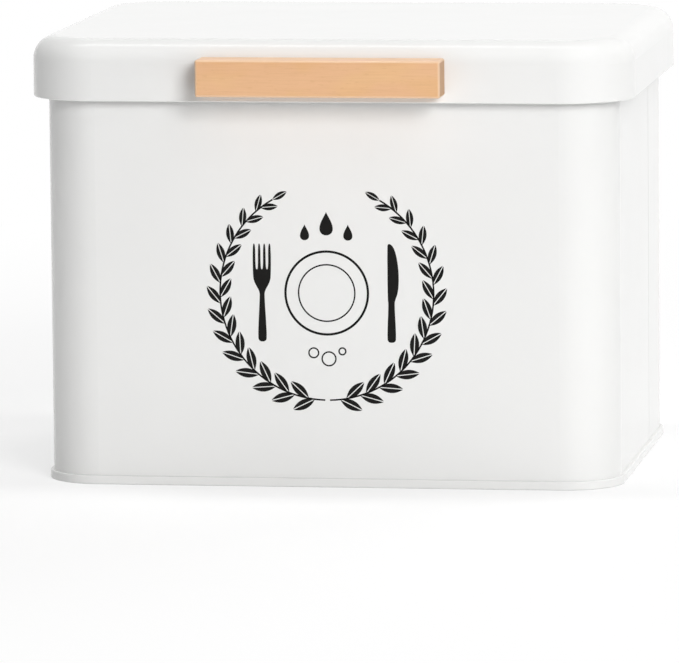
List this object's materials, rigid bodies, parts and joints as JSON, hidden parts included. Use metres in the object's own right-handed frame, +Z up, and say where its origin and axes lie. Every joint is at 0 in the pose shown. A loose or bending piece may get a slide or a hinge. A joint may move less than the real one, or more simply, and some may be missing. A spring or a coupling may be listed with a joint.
{
  "type": "dishwasher pod container",
  "caption": "White enamelled steel box with rounded corners, a rolled bottom seam and a hinged overhanging lid that lifts by a wooden bar handle, for storing dishwasher pods.",
  "frame": {"origin": "middle of the whole footprint, on the table", "axes": "+X to the right as seen from the front, +Y to the back, +Z up"},
  "size_m": [0.206, 0.1812, 0.152],
  "materials": {
    "white_enamel": "satin white enamel",
    "white_enamel_fittings": "satin white enamel",
    "beech": "sanded, clear matt oil",
    "zinc_steel": "zinc plated",
    "black_ink": "screen-printed black ink"
  },
  "bodies": {
    "container": {"body_shell": "white_enamel", "base_pan": "white_enamel", "body_hinge_leaf_left": "white_enamel_fittings", "body_hinge_leaf_right": "white_enamel_fittings", "hinge_pin_left": "zinc_steel", "hinge_pin_right": "zinc_steel", "body_rivet_left_inner": "white_enamel_fittings", "body_rivet_left_outer": "white_enamel_fittings", "body_rivet_right_inner": "white_enamel_fittings", "body_rivet_right_outer": "white_enamel_fittings"},
    "lid": {"lid_shell": "white_enamel", "wooden_handle": "beech", "handle_screw_left": "zinc_steel", "handle_screw_right": "zinc_steel", "handle_washer_left": "zinc_steel", "handle_washer_right": "zinc_steel", "lid_hinge_leaf_left": "white_enamel_fittings", "lid_hinge_leaf_right": "white_enamel_fittings", "lid_rivet_left_inner": "white_enamel_fittings", "lid_rivet_left_outer": "white_enamel_fittings", "lid_rivet_right_inner": "white_enamel_fittings", "lid_rivet_right_outer": "white_enamel_fittings"}
  },
  "joints": [
    {"name": "lid_hinge", "type": "hinge", "parent": "container", "child": "lid", "pos_m": [0, 0.0888, 0.1312], "axis": [-1, 0, 0], "range_deg": [0, 100]}
  ]
}
